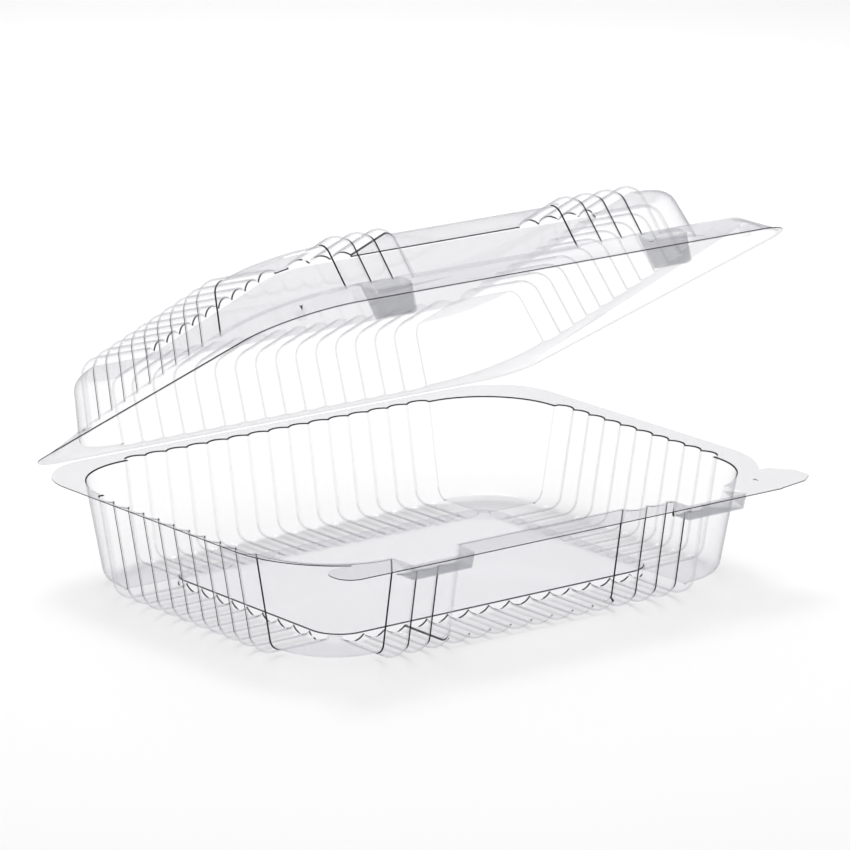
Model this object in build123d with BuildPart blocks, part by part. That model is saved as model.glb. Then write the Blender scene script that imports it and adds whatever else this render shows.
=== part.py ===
from build123d import *
import os
from math import sqrt, tan, cos, radians, degrees

# Hinged clear food pack, formed from one thin plastic sheet: a fluted tray and a fluted lid that
# fold together on a crease along the back. The origin is the middle of the tray's bottom panel,
# on its underside. X runs along the crease, the opening side is -Y, and Z is up.

# Sheet and flutes
sheet = 0.35                 # thickness of the formed sheet
pitch = 9.6                  # width of one flute
flute_rise = 2.0             # how far a flute bulges out of the wall
side_flutes = 10             # flutes on each short wall
long_flutes = 15             # flutes on the back wall
front_flutes_left = 3        # flutes on the front wall, left of its plain middle
front_flutes_right = 4       # flutes on the front wall, right of its plain middle
flute_stand = 2.0            # how far the creases between flutes stand out from the plain wall
flute_drop = 0.2             # how far they stand out from the ring round the panel
panel_rise = 1.0             # step between the flat panel and the ring all round it
panel_round = 12.0           # corner round of the flat panel
root = 3.6                   # how far a flute's solid reaches behind the crease

# Tray
tray_depth = 37.0            # rim down to the underside of the bottom panel
tray_draft = 10.0            # lean of the walls, in degrees
tray_edge_r = 5.0            # round between the walls and the bottom
tray_corner_r = 33.5         # corner round of the plain wall at the rim
corner_plain = 1.5           # plain strip between the last flute and the corner round
tray_ring = 33.0             # from the creases at the rim in to the edge of the bottom panel
front_edge_start = 55.0      # where the flutes of the plain middle begin on the edge round, in degrees

# Tray flange
flange_left = 3.4            # width of the flange beyond the creases of the wall
flange_right = 10.2
flange_back = 7.8
flange_front = 3.9
strip_front = 12.8           # the front strip that ends in the lobe and in the lifting tab
strip_width = 15.5
lobe_set_in = 5.0            # the lobe's end, in from the left wall
lobe_round = 7.0
# The lifting tab's outline: from the right wall, and from the front wall
tab_outline = ((-13.0, -12.8), (3.0, -9.5), (9.5, -4.5), (9.5, 4.0), (3.0, 11.5), (-9.0, 15.0))
tab_round = 4.0
front_round = 46.0           # corner rounds of the flange
back_round = 27.0

# Latches: pockets in the tray's flange, and hollow buttons on the lid that drop into them
latch_left_x = -58.5
latch_right_x = 69.0
pocket_length = 29.0
pocket_front = 10.5          # how far the pocket reaches out from the wall
pocket_depth = 6.0
latch_round = 2.0
latch_gap = 1.4              # room between a button and the front of its pocket
latch_shift = -2.2           # the buttons sit this far off the middle of their pockets
button_length = 21.0
button_width = 7.5

# Lid
lid_height = 22.6            # flange up to the top panel, at the back
lid_draft = 12.0
lid_edge_r = 6.0
lid_corner_r = 33.5
lid_plain = 1.5
lid_ring = 33.0              # from the creases at their feet in to the edge of the top panel
top_tilt = 1.6               # the top panel rises from the back to the front by this angle
collar_tilt = 3.0            # the sloping collar lifts the feet of the flutes by this angle
shelf = 2.3                  # flat shelf round the feet of the lid's flutes
rim_past_left = 3.6          # how far the lid's rim reaches beyond the creases of its walls
rim_past_right = 15.0
rim_past_front = 16.5
shelf_right = 4.5            # on the right the shelf reaches to this far from the rim's edge
shelf_round = 21.0           # its corner rounds there
rim_round_front_left = 30.0
rim_round_front_right = 20.0
rim_round_back = 16.0
rim_lip = 0.8                # flat lip round the foot of the collar
lug_left = (14.6, 15.0)       # middle of a lug, in from the rim's side and from its front
lug_right = (21.0, 8.5)
lug_length = 7.0
lug_width = 4.5
lug_draft = 8.0

# Hinge
rim_gap = 0.4                # room between the two flanges when the pack is shut
hinge_gap = 0.4              # width of the crease between the two flanges
open_angle = 28.7            # opening at rest, in degrees

tray_half_x = long_flutes * pitch / 2 + corner_plain + tray_corner_r + flute_stand
tray_half_y = side_flutes * pitch / 2 + corner_plain + tray_corner_r + flute_stand
lid_half_x = long_flutes * pitch / 2 + lid_plain + lid_corner_r + flute_stand
lid_half_y = side_flutes * pitch / 2 + lid_plain + lid_corner_r + flute_stand
rim_left = lid_half_x + rim_past_left
rim_right = lid_half_x + rim_past_right
rim_front = lid_half_y + rim_past_front
lug_places = ((lug_left[0] - rim_left, lug_left[1] - rim_front),
              (rim_right - lug_right[0], lug_right[1] - rim_front))
rim_z = tray_depth
back_edge = tray_half_y + flange_back
hinge_y = back_edge + hinge_gap / 2
hinge_z = rim_z + rim_gap / 2
over = 2.0                   # how far a cutter passes beyond what it cuts


def flute_face(plane, count, middle, inset):
    """A row of flutes in section: arcs that bulge along the plane's +Y and meet in creases."""
    radius = pitch**2 / (8 * flute_rise) + flute_rise / 2
    centre = flute_rise - radius
    crown = centre + radius - inset
    crease = centre + sqrt((radius - inset)**2 - (pitch / 2)**2)
    side = centre + sqrt((radius - inset)**2 - (pitch / 2 - inset)**2)
    start = middle - count * pitch / 2
    end = start + count * pitch
    with BuildSketch(plane) as face:
        with BuildLine():
            for i in range(count):
                x = start + i * pitch
                left = (x, crease) if i > 0 else (start + inset, side)
                right = (x + pitch, crease) if i < count - 1 else (end - inset, side)
                ThreePointArc(left, (x + pitch / 2, crown), right)
            Polyline((end - inset, side), (end - inset, -root), (start + inset, -root),
                     (start + inset, side))
        make_face()
    return face.sketch


def flute_row(out, way, half, depth, draft, edge_r, inner_end, count, middle, inset, partial=0):
    """Flutes that run down a wall, round its edge and inward on the panel.

    out is the wall's outward direction, way is +1 for a lid and -1 for a tray. A partial row
    starts that many degrees round the edge.
    """
    side = Plane(origin=(0, 0, 0), x_dir=out, z_dir=Vector(*out).cross(Vector(0, 0, way)))
    base_depth = depth + flute_drop
    lean = tan(radians(draft))
    corner = (half - base_depth * lean, base_depth)
    mouth = (half + over * lean, -over)
    end = (inner_end + inset, base_depth)
    if partial:
        heart = (corner[0] - edge_r * tan(radians(45 - draft / 2)), base_depth - edge_r)
        turn = partial + degrees(inset / edge_r)
        with BuildLine(side) as path:
            CenterArc(heart, edge_r, -draft + turn, 90 + draft - turn)
            Line((heart[0], base_depth), end)
    else:
        with BuildLine(side) as path:
            FilletPolyline(mouth, corner, end, radius=edge_r)
    first = path.line @ 0
    heading = path.line % 0
    along = Vector(*out).cross(Vector(0, 0, 1))
    level = heading.cross(along)
    if level.dot(Vector(*out)) < 0:
        along = -along
    section = Plane(origin=first, x_dir=along, z_dir=heading)
    shift = middle * (1 if along.X + along.Y > 0 else -1)
    with BuildPart() as row:
        sweep(flute_face(section, count, shift, inset), path=path.line)
    return row.part


def rounded_plate(level, x0, x1, y0, y1, rounds):
    """A rounded rectangle. rounds are its corners: front left, front right, back right, back left."""
    with BuildSketch(level) as plate:
        with BuildLine():
            Polyline((x0, y0), (x1, y0), (x1, y1), (x0, y1), close=True)
        make_face()
        for (x, y), size in zip(((x0, y0), (x1, y0), (x1, y1), (x0, y1)), rounds):
            if size > 0:
                fillet(plate.vertices().sort_by_distance((x, y, 0))[0], size)
    return plate.sketch


def tab():
    """The lifting tab at the front right corner of the flange."""
    points = [(tray_half_x + x, y - tray_half_y) for x, y in tab_outline]
    with BuildSketch() as tongue:
        with BuildLine():
            Polyline(*points, close=True)
        make_face()
        for point in points[1:-1]:
            fillet(tongue.vertices().sort_by_distance((*point, 0))[0], tab_round)
    return tongue.sketch


def bowl(way, half_x, half_y, depth, draft, edge_r, corner_r, end_x, end_y, middle_flutes, inset):
    """The space inside a fluted bowl's surface, with its mouth at Z = 0 and its panel at depth."""
    lean = tan(radians(draft))
    flare = over * lean - inset / cos(radians(draft))
    deep = depth + panel_rise
    plain_x = half_x - flute_stand + flare
    plain_y = half_y - flute_stand + flare
    front_plain = long_flutes - front_flutes_left - front_flutes_right
    start = -long_flutes * pitch / 2
    left_middle = start + front_flutes_left * pitch / 2
    right_middle = -start - front_flutes_right * pitch / 2
    plain_middle = start + (front_flutes_left + front_plain / 2) * pitch
    facing = Plane.XY if way > 0 else Plane(origin=(0, 0, 0), z_dir=(0, 0, -1))
    shape = (deep, draft, edge_r)
    with BuildPart() as space:
        with BuildSketch(facing.offset(-over)):
            RectangleRounded(2 * plain_x, 2 * plain_y, corner_r + flare)
        extrude(amount=deep - inset + over, taper=draft)
        floor_face = space.faces().sort_by(Axis.Z)[-1 if way > 0 else 0]
        fillet(floor_face.edges(), edge_r - inset)
        add(flute_row((1, 0, 0), way, half_x, *shape, end_x - over, side_flutes, 0, inset))
        add(flute_row((-1, 0, 0), way, half_x, *shape, end_x - over, side_flutes, 0, inset))
        add(flute_row((0, 1, 0), way, half_y, *shape, end_y - over, long_flutes, 0, inset))
        add(flute_row((0, -1, 0), way, half_y, *shape, end_y - over, front_flutes_left, left_middle, inset))
        add(flute_row((0, -1, 0), way, half_y, *shape, end_y - over, front_flutes_right, right_middle,
                      inset))
        if middle_flutes:
            add(flute_row((0, -1, 0), way, half_y, *shape, end_y - over, front_plain, plain_middle, inset,
                          partial=front_edge_start))
        with BuildSketch(facing.offset(depth - inset)):
            RectangleRounded(2 * (end_x + inset), 2 * (end_y + inset), panel_round + inset)
        extrude(amount=panel_rise + flute_rise + over, mode=Mode.SUBTRACT)
    return space.part


tray_sizes = (tray_half_x, tray_half_y, tray_depth, tray_draft, tray_edge_r, tray_corner_r,
              tray_half_x - tray_ring, tray_half_y - tray_ring, True)
lid_sizes = (lid_half_x, lid_half_y, lid_height, lid_draft, lid_edge_r, lid_corner_r,
             lid_half_x - lid_ring, lid_half_y - lid_ring, False)
mouth_up = Plane.XY.offset(rim_z)

# Tray: the fluted bowl, its flange with the front strip, and the two latch pockets
with BuildPart() as tray:
    add(mouth_up.location * bowl(-1, *tray_sizes, 0))
    split(bisect_by=mouth_up, keep=Keep.BOTTOM)
    with BuildSketch(mouth_up):
        add(rounded_plate(Plane.XY, -tray_half_x - flange_left, tray_half_x + flange_right,
                          -tray_half_y - flange_front, back_edge,
                          (front_round, front_round, back_round, back_round)))
        strip_y0 = -tray_half_y - strip_front
        add(rounded_plate(Plane.XY, lobe_set_in - tray_half_x, tray_half_x + tab_outline[0][0] + over,
                          strip_y0, strip_y0 + strip_width, (lobe_round, 0, 0, lobe_round)))
        add(tab())
    extrude(amount=-sheet)
    for x in (latch_left_x, latch_right_x):
        with BuildSketch(mouth_up):
            add(rounded_plate(Plane.XY, x - pocket_length / 2, x + pocket_length / 2,
                              -tray_half_y - pocket_front, -tray_half_y + pocket_depth,
                              (latch_round,) * 4))
        extrude(amount=-pocket_depth, taper=tray_draft)
    add(mouth_up.location * bowl(-1, *tray_sizes, sheet), mode=Mode.SUBTRACT)
    for x in (latch_left_x, latch_right_x):
        with BuildSketch(mouth_up):
            add(rounded_plate(Plane.XY, x - pocket_length / 2 + sheet, x + pocket_length / 2 - sheet,
                              -tray_half_y - pocket_front + sheet, -tray_half_y + pocket_depth,
                              (latch_round - sheet,) * 4))
        extrude(amount=-pocket_depth + sheet, taper=tray_draft, mode=Mode.SUBTRACT)


def opened(angle):
    """The turn about the hinge line from shut to open by this angle."""
    hinge = Location((0, hinge_y, hinge_z))
    return hinge * Location((0, 0, 0), (-angle, 0, 0)) * hinge.inverse()


# Lid: a flat lip, a collar that slopes up to the feet of the flutes, and the fluted bowl, upside down
lid_z = rim_z + rim_gap
lid_rounds = (rim_round_front_left, rim_round_front_right, rim_round_back, rim_round_back)
rim_plane = Plane(opened(open_angle) * Location((0, 0, lid_z)))
top_plane = Plane(opened(open_angle + top_tilt) * Location((0, 0, lid_z + sheet)))
foot_plane = Plane(opened(open_angle + collar_tilt) * Location((0, 0, lid_z + sheet)))


def rim_outline(inset):
    """The lid's rim as it lies on the flange, drawn in by inset."""
    rounds = [size - inset for size in lid_rounds]
    return rounded_plate(Plane.XY, inset - rim_left, rim_right - inset, inset - rim_front,
                         hinge_y - hinge_gap / 2 - inset, rounds)


def collar(inset, drop):
    """The sloping space under the lid's collar, from the rim up to the feet of the flutes."""
    x = lid_half_x + shelf - inset
    y = lid_half_y + shelf - inset
    right = rim_right - shelf_right - inset
    right_r = shelf_round - inset
    foot_r = lid_corner_r + flute_stand + shelf - inset
    with BuildPart() as slope:
        with BuildSketch(rim_plane.offset(-drop)):
            add(rim_outline(rim_lip + inset))
        with BuildSketch(foot_plane.offset(-drop)):
            add(rounded_plate(Plane.XY, -x, right, -y, y, (foot_r, right_r, right_r, foot_r)))
        loft(ruled=True)
    return slope.part


def stud(x, y, length, width, drop, inset):
    """A tapered stud pressed down into the collar, reaching drop below the rim."""
    top = lid_height / 2
    with BuildPart() as block:
        with BuildSketch(rim_plane.offset(top)):
            add(rounded_plate(Plane.XY, x - length / 2 + inset, x + length / 2 - inset,
                              y - width / 2 + inset, y + width / 2 - inset, (latch_round - inset,) * 4))
        extrude(amount=-(top + drop - inset), taper=lug_draft)
    return block.part


button_y = -tray_half_y - pocket_front + latch_gap + button_width / 2
button_drop = pocket_depth - latch_gap + rim_gap
studs = [(x + latch_shift, button_y, button_length, button_width, button_drop)
         for x in (latch_left_x, latch_right_x)]
studs += [(x, y, lug_length, lug_width, -sheet) for x, y in lug_places]

outer_collar = collar(0, 0)
with BuildPart() as under_collar:
    add(outer_collar)
    with BuildSketch(rim_plane):
        add(rim_outline(rim_lip))
    extrude(amount=-pocket_depth)

with BuildPart() as lid:
    add(top_plane.location * bowl(1, *lid_sizes, 0))
    split(bisect_by=foot_plane, keep=Keep.TOP)
    add(outer_collar)
    with BuildSketch(rim_plane):
        add(rim_outline(0))
    extrude(amount=sheet)
    add(top_plane.location * bowl(1, *lid_sizes, sheet), mode=Mode.SUBTRACT)
    add(collar(sheet, sheet), mode=Mode.SUBTRACT)
    for place in studs:
        add(stud(*place, 0) & under_collar.part)
        add(stud(*place, sheet), mode=Mode.SUBTRACT)

os.makedirs("parts", exist_ok=True)
for name, piece in (("tray", tray), ("lid", lid)):
    piece.part.label = name
    export_step(piece.part, f"parts/{name}.step")
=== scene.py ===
from math import cos, radians, sin

import bmesh
import bpy
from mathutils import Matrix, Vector


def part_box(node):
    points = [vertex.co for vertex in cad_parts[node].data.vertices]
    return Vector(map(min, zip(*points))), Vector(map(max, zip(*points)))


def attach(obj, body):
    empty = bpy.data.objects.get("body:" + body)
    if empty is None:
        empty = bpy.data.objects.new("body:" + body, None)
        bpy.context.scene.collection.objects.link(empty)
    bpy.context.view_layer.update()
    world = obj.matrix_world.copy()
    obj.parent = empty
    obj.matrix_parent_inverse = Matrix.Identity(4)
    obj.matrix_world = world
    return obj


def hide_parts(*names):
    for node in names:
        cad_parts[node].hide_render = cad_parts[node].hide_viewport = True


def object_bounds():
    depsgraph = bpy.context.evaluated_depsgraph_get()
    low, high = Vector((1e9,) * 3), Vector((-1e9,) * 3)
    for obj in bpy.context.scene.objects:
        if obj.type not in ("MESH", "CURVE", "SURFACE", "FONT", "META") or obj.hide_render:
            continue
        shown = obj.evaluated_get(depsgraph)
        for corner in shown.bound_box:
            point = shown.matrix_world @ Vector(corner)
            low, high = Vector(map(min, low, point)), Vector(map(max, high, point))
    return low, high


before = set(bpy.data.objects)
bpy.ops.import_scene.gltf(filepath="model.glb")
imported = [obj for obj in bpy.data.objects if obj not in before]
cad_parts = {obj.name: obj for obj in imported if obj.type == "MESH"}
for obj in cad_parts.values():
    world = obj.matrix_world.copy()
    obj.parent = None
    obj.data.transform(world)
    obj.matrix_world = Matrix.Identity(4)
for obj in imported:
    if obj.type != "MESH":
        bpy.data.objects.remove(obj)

cad_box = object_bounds()
scene = bpy.context.scene

# The camera stands front left, a little above the rim, far back with a long lens.
rim_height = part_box("tray")[1][2]
camera_turn = radians(-37.5)
camera_rise = radians(15.4)
camera_away = 2.118
camera_lens = 240.0
camera_shift = (0.015, 0.059)
camera_far = 20

# The studio
floor_half = 12
floor_grey = (0.93, 0.93, 0.93)
floor_roughness = 0.9
card_grey = (0.2, 0.2, 0.2)
world_white = (1, 1, 1)
world_strength = 0.66
light_bounces = 12
sheet_layers = 48                # how many layers of clear sheet a ray may pass

# The rims: the tray's is level, and the lid's is turned open about the crease.
cut_edge = 0.00035               # height of the sheet's cut edge, which is its thickness
lid_open = radians(28.7)
lid_lift = 0.0002                # from the crease's middle up to the lid's rim
hinge_point = Vector((0, 0.0930, 0.0372))
tray_up = Vector((0, 0, 1))
lid_up = Vector((0, sin(lid_open), cos(lid_open)))

# The tray's bottom panel, seen from above
panel_half = (0.077, 0.053)
panel_top = 0.002

# Where the front's low flutes start out of the plain wall
front_row = (-0.0440, 0.0345)
front_start = (-0.088, -0.072)
front_rise = 0.008
front_across = 0.7               # an edge with more than this share across runs along the start


def forward(upright):
    """The direction in a rim's own plane that leads from the crease to the front."""
    return Vector((0, -upright.z, upright.y))


# Latches, each as: middle across, middle forward from the world's origin, half width, half depth.
button_from_crease = 0.09035 + 0.0930
button_forward = button_from_crease + hinge_point.dot(forward(lid_up))
pockets = ((-0.0585, 0.0915, 0.0145, 0.0040), (0.0690, 0.0915, 0.0145, 0.0040))
buttons = ((-0.0607, button_forward, 0.0112, 0.0044), (0.0668, button_forward, 0.0112, 0.0044))

# Where the sheet gets fold strips, which carry painted shade lines
weld_reach = 1e-6
crease_angle = radians(14)       # a fold sharper than this gets a painted shade line
smooth_angle = radians(30)
shortest_near = 0.0004           # a fold that meets a shorter edge than this gets no strip
fold_reach = 0.00042             # how far a fold's strip reaches into the sheet on each side
level_share = 0.98               # a face whose normal lies this close to upright is level
upright_share = 0.3              # a face whose normal lies this far from upright stands on edge

# How the clear sheet shows
film_colour = (0.68, 0.67, 0.73)
# The latch parts get a darker, less clear film as painted shade
latch_shade_colour = (0.30, 0.31, 0.35)
film_roughness = 0.04
film_ior = 2.5
# Painted shade where the sheet is seen edge on, mixed over the gloss
edge_shade_colour = (0.04, 0.04, 0.05)
edge_roughness = 0.6
edge_specular = 0.1
gloss_power = 5                  # how sharply the gloss rises towards the edge-on view
edge_power = 14                  # how sharply the painted edge-on shade does
even_blend = 0.5                 # Layer Weight's plain setting
# Painted shade lines along the folds and cut edges: near black on the outer ones, grey and fainter
# on the inner ones
outer_fold_shade_colour = (0.004, 0.005, 0.007)
inner_fold_shade_colour = (0.12, 0.12, 0.15)
fold_roughness = 0.4
fold_specular = 0.2

# Each sheet's material slots, in their order
film_slot, outer_shade_slot, inner_shade_slot, latch_shade_slot, panel_slot = range(5)


def add_camera():
    """A long lens aimed at the middle of the tray's rim."""
    camera = bpy.data.objects.new("camera", bpy.data.cameras.new("camera"))
    scene.collection.objects.link(camera)
    back = Vector((sin(camera_turn) * cos(camera_rise), -cos(camera_turn) * cos(camera_rise),
                   sin(camera_rise)))
    camera.location = Vector((0, 0, rim_height)) + back * camera_away
    camera.rotation_euler = back.to_track_quat("Z", "Y").to_euler()
    camera.data.lens = camera_lens
    camera.data.shift_x, camera.data.shift_y = camera_shift
    camera.data.clip_end = camera_far
    scene.camera = camera


def matt_paint(name, colour, roughness):
    """A plain paint without any gloss."""
    paint = bpy.data.materials.new(name)
    paint.use_nodes = True
    surface = paint.node_tree.nodes["Principled BSDF"]
    surface.inputs["Base Color"].default_value = (*colour, 1)
    surface.inputs["Roughness"].default_value = roughness
    surface.inputs["Specular IOR Level"].default_value = 0.0
    return paint


def add_floor():
    """A plain pale floor that runs out of sight."""
    bm = bmesh.new()
    bmesh.ops.create_grid(bm, x_segments=1, y_segments=1, size=floor_half)
    bmesh.ops.translate(bm, vec=(0, 0, cad_box[0][2]), verts=bm.verts)
    mesh = bpy.data.meshes.new("floor")
    bm.to_mesh(mesh)
    bm.free()
    floor = bpy.data.objects.new("floor", mesh)
    scene.collection.objects.link(floor)
    mesh.materials.append(matt_paint("pale_floor", floor_grey, floor_roughness))


def add_light(name, place, aim, size, power):
    """A soft box that faces a point."""
    lamp = bpy.data.lights.new(name, "AREA")
    lamp.size = size
    lamp.energy = power
    box = bpy.data.objects.new(name, lamp)
    box.location = place
    box.rotation_euler = (Vector(place) - Vector(aim)).to_track_quat("Z", "Y").to_euler()
    scene.collection.objects.link(box)


def add_card(name, place, aim, width, height):
    """A dark card outside the view, which the sheet's level faces mirror."""
    bm = bmesh.new()
    bmesh.ops.create_grid(bm, x_segments=1, y_segments=1, size=0.5)
    bmesh.ops.scale(bm, vec=(width, height, 1), verts=bm.verts)
    facing = (Vector(aim) - Vector(place)).to_track_quat("Z", "Y").to_matrix()
    bmesh.ops.rotate(bm, cent=(0, 0, 0), matrix=facing, verts=bm.verts)
    bmesh.ops.translate(bm, vec=place, verts=bm.verts)
    mesh = bpy.data.meshes.new(name)
    bm.to_mesh(mesh)
    bm.free()
    card = bpy.data.objects.new(name, mesh)
    scene.collection.objects.link(card)
    mesh.materials.append(matt_paint(name, card_grey, roughness=1.0))


def add_studio():
    """White surroundings, soft boxes overhead, and a dark card behind."""
    world = bpy.data.worlds.new("studio")
    scene.world = world
    world.use_nodes = True
    world.node_tree.nodes["Background"].inputs["Color"].default_value = (*world_white, 1)
    world.node_tree.nodes["Background"].inputs["Strength"].default_value = world_strength
    add_light("top_box", place=(-0.3, -0.5, 1.4), aim=(0, 0, 0), size=1.2, power=2.5)
    add_light("back_box", place=(0.45, 0.75, 1.4), aim=(0, 0, 0), size=0.6, power=14)
    add_card("dark_card", place=(1.25, 1.6, 1.0), aim=(0, 0, 0.1), width=2.6, height=1.5)
    scene.view_settings.view_transform = "Standard"
    scene.cycles.transparent_max_bounces = sheet_layers
    scene.cycles.max_bounces = light_bounces


def mirroring(nodes, links, power, face_on, edge_on):
    """A share that rises towards the edge-on view."""
    weight = nodes.new("ShaderNodeLayerWeight")
    weight.inputs["Blend"].default_value = even_blend
    steep = nodes.new("ShaderNodeMath")
    steep.operation = "POWER"
    steep.inputs[1].default_value = power
    links.new(weight.outputs["Facing"], steep.inputs[0])
    share = nodes.new("ShaderNodeMapRange")
    share.inputs["To Min"].default_value = face_on
    share.inputs["To Max"].default_value = edge_on
    links.new(steep.outputs["Value"], share.inputs["Value"])
    return share.outputs["Result"]


def clear_film(name, colour, face_on, edge_on, edge_shade_share, shadow_pass):
    """Clear plastic: glossier the more it turns away, with painted shade where it is seen edge on.

    shadow_pass is how much light one layer lets through to the floor.
    """
    plastic = bpy.data.materials.new(name)
    plastic.use_nodes = True
    nodes, links = plastic.node_tree.nodes, plastic.node_tree.links
    gloss = nodes["Principled BSDF"]
    gloss.inputs["Base Color"].default_value = (*colour, 1)
    gloss.inputs["Roughness"].default_value = film_roughness
    gloss.inputs["IOR"].default_value = film_ior
    links.new(mirroring(nodes, links, gloss_power, face_on, edge_on), gloss.inputs["Alpha"])
    # A dark surface mixed in towards the edge-on view: painted shade
    rim = nodes.new("ShaderNodeBsdfPrincipled")
    rim.inputs["Base Color"].default_value = (*edge_shade_colour, 1)
    rim.inputs["Roughness"].default_value = edge_roughness
    rim.inputs["Specular IOR Level"].default_value = edge_specular
    body = nodes.new("ShaderNodeMixShader")
    links.new(mirroring(nodes, links, edge_power, 0, edge_shade_share), body.inputs["Fac"])
    links.new(gloss.outputs["BSDF"], body.inputs[1])
    links.new(rim.outputs["BSDF"], body.inputs[2])
    passing = nodes.new("ShaderNodeBsdfTransparent")
    passing.inputs["Color"].default_value = (shadow_pass, shadow_pass, shadow_pass, 1)
    path = nodes.new("ShaderNodeLightPath")
    surface = nodes.new("ShaderNodeMixShader")
    links.new(path.outputs["Is Shadow Ray"], surface.inputs["Fac"])
    links.new(body.outputs["Shader"], surface.inputs[1])
    links.new(passing.outputs["BSDF"], surface.inputs[2])
    links.new(surface.outputs["Shader"], nodes["Material Output"].inputs["Surface"])
    return plastic


def painted_fold_shade(name, colour, outside, inside):
    """Painted shade for a fold that reads as a dark line: stronger from its own side than through
    the sheet.
    """
    plastic = bpy.data.materials.new(name)
    plastic.use_nodes = True
    nodes, links = plastic.node_tree.nodes, plastic.node_tree.links
    surface = nodes["Principled BSDF"]
    surface.inputs["Base Color"].default_value = (*colour, 1)
    surface.inputs["Roughness"].default_value = fold_roughness
    surface.inputs["Specular IOR Level"].default_value = fold_specular
    side = nodes.new("ShaderNodeNewGeometry")
    strength = nodes.new("ShaderNodeMapRange")
    strength.inputs["To Min"].default_value = outside
    strength.inputs["To Max"].default_value = inside
    links.new(side.outputs["Backfacing"], strength.inputs["Value"])
    links.new(strength.outputs["Result"], surface.inputs["Alpha"])
    return plastic


def blended(here, way):
    """True along the line where the front's low flutes grow out of the plain wall."""
    return (front_row[0] < here.x < front_row[1] and front_start[0] < here.y < front_start[1]
            and here.z < front_rise and abs(way.x) > front_across * way.length)


def finish_of(face, upright, level, pressed):
    """The material slot of one face, before the fold strips get theirs."""
    centre = face.calc_center_median()
    slot = film_slot
    rise = centre.dot(upright) - level
    # The cut edge gets the outer folds' painted shade.
    if abs(rise) < cut_edge / 2 and abs(face.normal.dot(upright)) < upright_share:
        slot = outer_shade_slot
    if (abs(centre.x) < panel_half[0] and abs(centre.y) < panel_half[1]
            and centre.z < panel_top):
        slot = panel_slot
    for across, ahead, half_width, half_depth in pressed:
        if (abs(centre.x - across) < half_width
                and abs(centre.dot(forward(upright)) - ahead) < half_depth):
            slot = latch_shade_slot
    return slot


def creased(edge):
    """True for a fold that gets a strip: sharp, off the cut edge, away from tiny edges."""
    return (len(edge.link_faces) == 2 and edge.calc_face_angle(0) > crease_angle
            and all(face.material_index != outer_shade_slot for face in edge.link_faces)
            and all(near.calc_length() > shortest_near
                    for end in edge.verts for near in end.link_edges))


def formed_sheet(node, upright, level, finishes, pressed):
    """The formed sheet of one node, with thin strips at its sharp fold edges that carry painted
    shade lines.

    upright is its rim's upward direction, level the middle height of its cut edge along that,
    and pressed the places of its latch parts in its own plane, which get a darker film as painted
    shade.
    """
    low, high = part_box(node)
    middle = (Vector(low) + Vector(high)) / 2
    sheet = bpy.data.objects.new(node + "_sheet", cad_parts[node].data.copy())
    scene.collection.objects.link(sheet)
    bm = bmesh.new()
    bm.from_mesh(sheet.data)
    bmesh.ops.remove_doubles(bm, verts=bm.verts, dist=weld_reach)
    bmesh.ops.dissolve_degenerate(bm, edges=bm.edges, dist=weld_reach)
    for face in bm.faces:
        face.smooth = True
        face.material_index = finish_of(face, upright, level, pressed)
    # Folds that get a strong or a faint painted shade line
    strong, faint = [], []
    for edge in [edge for edge in bm.edges if creased(edge)]:
        one, other = edge.link_faces
        here = (edge.verts[0].co + edge.verts[1].co) / 2
        if blended(here, edge.verts[1].co - edge.verts[0].co):
            continue
        outer = (one.normal + other.normal).dot(here - middle) > 0
        one_level = one.normal.dot(upright) > level_share
        other_level = other.normal.dot(upright) > level_share
        level_top = one_level != other_level
        at_rim = abs(here.dot(upright) - level) < 2 * cut_edge
        at_panel = node == "tray" and abs(here.z - cut_edge) < cut_edge / 2
        stepped = level_top and (at_rim or at_panel)
        deep = one.material_index == latch_shade_slot and other.material_index == latch_shade_slot
        if stepped or (outer and not edge.is_convex and not level_top and not deep):
            strong.append(edge)
        elif deep or edge.is_convex != outer:
            faint.append(edge)
    for edges, slot in ((strong, outer_shade_slot), (faint, inner_shade_slot)):
        edges = [edge for edge in edges if edge.is_valid]
        made = bmesh.ops.bevel(bm, geom=edges, offset=fold_reach, offset_type="OFFSET",
                               affect="EDGES", segments=1, profile=0.5,
                               clamp_overlap=False, material=-1)
        for face in made["faces"]:
            face.material_index = slot
    for edge in bm.edges:
        edge.smooth = len(edge.link_faces) != 2 or edge.calc_face_angle(0) < smooth_angle
    sheet.data.materials.clear()
    for finish in finishes:
        sheet.data.materials.append(finish)
    bm.to_mesh(sheet.data)
    bm.free()
    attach(sheet, node)
    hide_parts(node)


add_camera()
add_floor()
add_studio()
walls = clear_film("tray_walls", film_colour, face_on=0.055, edge_on=0.75, edge_shade_share=0.9,
                   shadow_pass=0.86)
panels = clear_film("clear_sheet", film_colour, face_on=0.055, edge_on=0.75, edge_shade_share=0.9,
                    shadow_pass=0.98)
# Painted shade lines for the folds and the cut edge
fold_shades = (painted_fold_shade("outer_fold_painted_shade", outer_fold_shade_colour, outside=1.0, inside=0.14),
         painted_fold_shade("inner_fold_painted_shade", inner_fold_shade_colour, outside=0.18, inside=0.12))
# The latch parts: a darker, less clear film as painted shade
latch_painted_shade = clear_film("latch_painted_shade", latch_shade_colour, face_on=0.26, edge_on=0.9, edge_shade_share=0.9,
                     shadow_pass=0.9)
formed_sheet("tray", tray_up, rim_height - cut_edge / 2, (walls, *fold_shades, latch_painted_shade, panels), pockets)
formed_sheet("lid", lid_up, hinge_point.dot(lid_up) + lid_lift + cut_edge / 2,
             (panels, *fold_shades, latch_painted_shade, panels), buttons)
